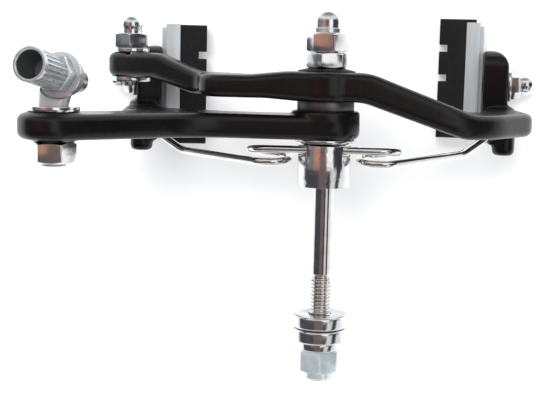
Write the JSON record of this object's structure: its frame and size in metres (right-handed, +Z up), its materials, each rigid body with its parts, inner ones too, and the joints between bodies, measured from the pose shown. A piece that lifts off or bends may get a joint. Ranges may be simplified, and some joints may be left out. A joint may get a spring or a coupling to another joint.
{
  "type": "side pull caliper brake",
  "caption": "Single pivot side pull caliper brake: two crossed black arms on a pivot bolt, a return spring, a barrel adjuster, a cable anchor and rubber shoes.",
  "frame": {"origin": "on the pivot bolt's axis, at the rear face of the spring block, which seats on the fork crown", "axes": "+Z up as the brake hangs on the fork, +Y backwards along the mounting stud, +X to the cable side, so the front of the brake faces -Y"},
  "size_m": [0.144, 0.1015, 0.1017],
  "materials": {
    "arm": "satin black paint with a faint warm sheen",
    "bright_plate": "bright plated steel",
    "zinc_plate": "bright zinc plate",
    "spring": "polished spring wire",
    "holder": "blue grey zinc plate",
    "spacer": "dark grey steel",
    "thrust_washer": "black plastic",
    "nylon": "natural nylon",
    "cast_stop": "dull plated casting",
    "rubber": "matte black rubber"
  },
  "bodies": {
    "pivot": {"pivot_bolt": "bright_plate", "block_washer": "zinc_plate", "arm_spacer": "spacer", "thrust_washer": "thrust_washer", "adjusting_nut": "bright_plate", "dome_nut": "bright_plate", "fork_washer_inner": "zinc_plate", "fork_washer_outer": "zinc_plate", "mounting_washer": "zinc_plate", "mounting_nut": "zinc_plate", "nut_insert": "nylon", "return_spring": "spring"},
    "rear_arm": {"rear_arm": "arm"},
    "front_arm": {"front_arm": "arm"},
    "cable_anchor": {"anchor_bolt": "zinc_plate", "anchor_washer": "zinc_plate", "anchor_nut": "zinc_plate"},
    "cable_stop": {"stop_body": "cast_stop", "stop_washer": "zinc_plate", "stop_nut": "zinc_plate", "barrel_washer": "zinc_plate", "barrel_lock_nut": "zinc_plate"},
    "barrel": {"barrel_adjuster": "bright_plate"},
    "left_clamp": {"shoe_washer_left": "zinc_plate", "shoe_nut_left": "zinc_plate", "shoe_stud_left": "zinc_plate"},
    "left_shoe": {"shoe_holder_left": "holder", "brake_pad_left": "rubber"},
    "right_clamp": {"shoe_washer_right": "zinc_plate", "shoe_nut_right": "zinc_plate", "shoe_stud_right": "zinc_plate"},
    "right_shoe": {"shoe_holder_right": "holder", "brake_pad_right": "rubber"}
  },
  "joints": [
    {"name": "rear_arm_pivot", "type": "hinge", "parent": "pivot", "child": "rear_arm", "pos_m": [0, 0, 0], "axis": [0, 1, 0], "range_deg": [0, 17], "stiffness_Nm_per_rad": 4, "deforming": ["return_spring"]},
    {"name": "front_arm_pivot", "type": "hinge", "parent": "pivot", "child": "front_arm", "pos_m": [0, 0, 0], "axis": [0, -1, 0], "range_deg": [0, 17], "stiffness_Nm_per_rad": 4, "deforming": ["return_spring"]},
    {"name": "anchor_swivel", "type": "hinge", "parent": "front_arm", "child": "cable_anchor", "pos_m": [0.0574, 0, -0.0342], "axis": [0, -1, 0], "range_deg": [-30, 30]},
    {"name": "stop_swivel", "type": "hinge", "parent": "rear_arm", "child": "cable_stop", "pos_m": [0.068, 0, 0.0245], "axis": [0, 1, 0], "range_deg": [-12, 12]},
    {"name": "barrel_slide", "type": "slide", "parent": "cable_stop", "child": "barrel", "axis": [0.2875, -0.1822, 0.9403], "range_m": [0, 0.005]},
    {"name": "left_shoe_height", "type": "slide", "parent": "rear_arm", "child": "left_clamp", "axis": [-0.1392, 0, 0.9903], "range_m": [0, 0.0065]},
    {"name": "left_shoe_turn", "type": "hinge", "parent": "left_clamp", "child": "left_shoe", "pos_m": [0.037, -0.02645, -0.0555], "axis": [0.9903, 0, 0.1392], "range_deg": [-15, 15]},
    {"name": "right_shoe_height", "type": "slide", "parent": "front_arm", "child": "right_clamp", "axis": [0.1392, 0, 0.9903], "range_m": [0, 0.0065]},
    {"name": "right_shoe_turn", "type": "hinge", "parent": "right_clamp", "child": "right_shoe", "pos_m": [-0.037, -0.02745, -0.0555], "axis": [-0.9903, 0, 0.1392], "range_deg": [-15, 15]}
  ]
}
